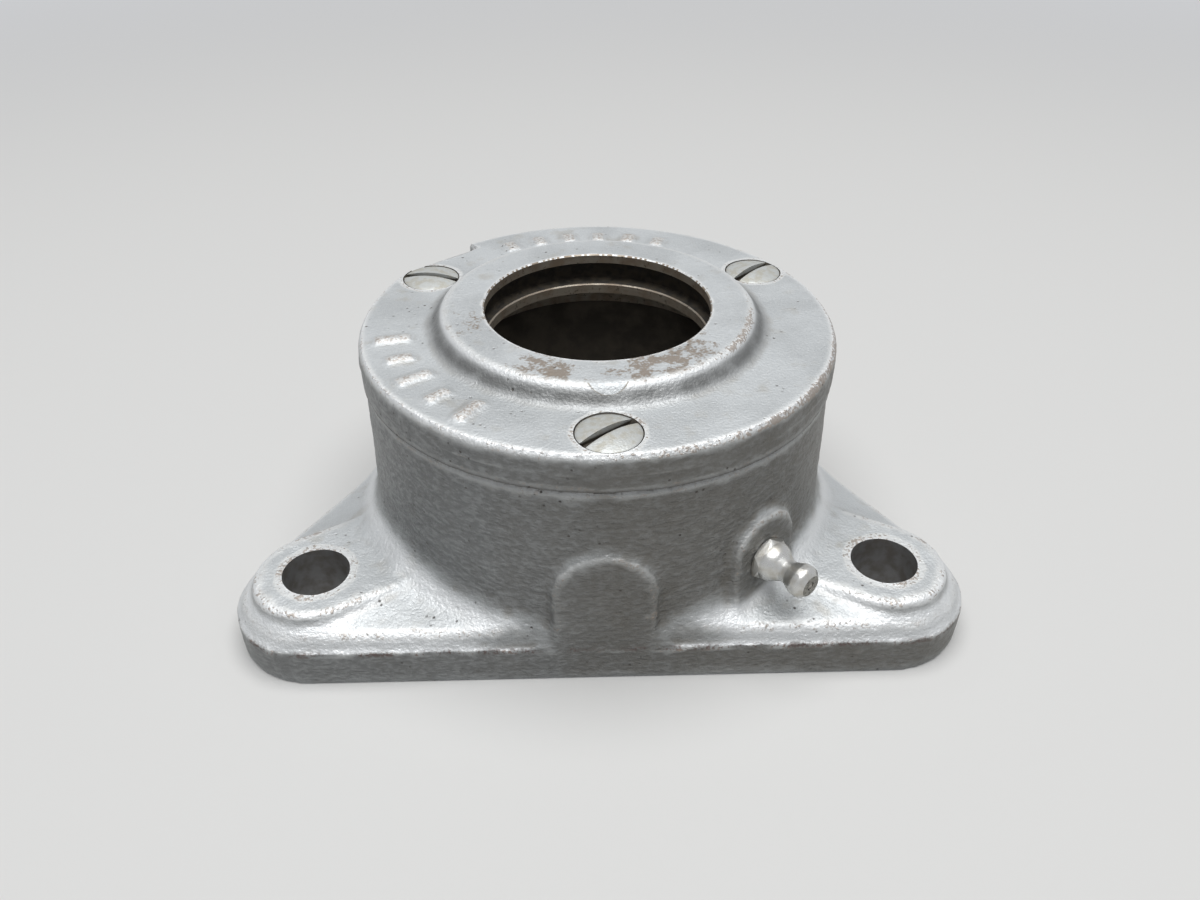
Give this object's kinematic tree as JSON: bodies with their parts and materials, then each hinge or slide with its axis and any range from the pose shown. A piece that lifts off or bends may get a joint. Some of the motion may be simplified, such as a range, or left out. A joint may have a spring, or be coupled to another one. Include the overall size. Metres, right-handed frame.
{
  "type": "bearing housing",
  "caption": "Cast flanged bearing housing with a round body, a screwed end cover with a seal groove, bolt pads and a straight grease nipple with a spring-loaded check ball.",
  "frame": {"origin": "on the shaft axis, in the plane of the mounting face", "axes": "+Z along the shaft axis towards the end cover, +X along the straight front edge of the flange, -Y to the front"},
  "size_m": [0.144, 0.1289, 0.0553],
  "materials": {
    "painted_casting": "cast iron in aged silver-grey paint, orange-peel cast skin, worn to brown metal on the rims",
    "gasket_paper": "oil-soaked dark gasket paper",
    "screw_steel": "dull plated steel with thin paint and dirt round the head",
    "nipple_steel": "plated steel, paint worn to bright metal",
    "ball_steel": "bright steel ball dulled by old grease",
    "spring_steel": "drawn spring wire"
  },
  "bodies": {
    "housing": {"housing_body": "painted_casting", "cover_gasket": "gasket_paper", "end_cover": "painted_casting", "cover_screw_front": "screw_steel", "cover_screw_rear_right": "screw_steel", "cover_screw_rear_left": "screw_steel", "grease_nipple_body": "nipple_steel", "grease_check_spring": "spring_steel"},
    "check_ball": {"grease_check_ball": "ball_steel"}
  },
  "joints": [
    {"name": "check_ball_slide", "type": "slide", "parent": "housing", "child": "check_ball", "axis": [-0.6293, 0.7771, 0], "range_m": [0, 0.0008], "stiffness_N_per_m": 300, "springref_m": -0.0005, "deforming": ["grease_check_spring"]}
  ]
}
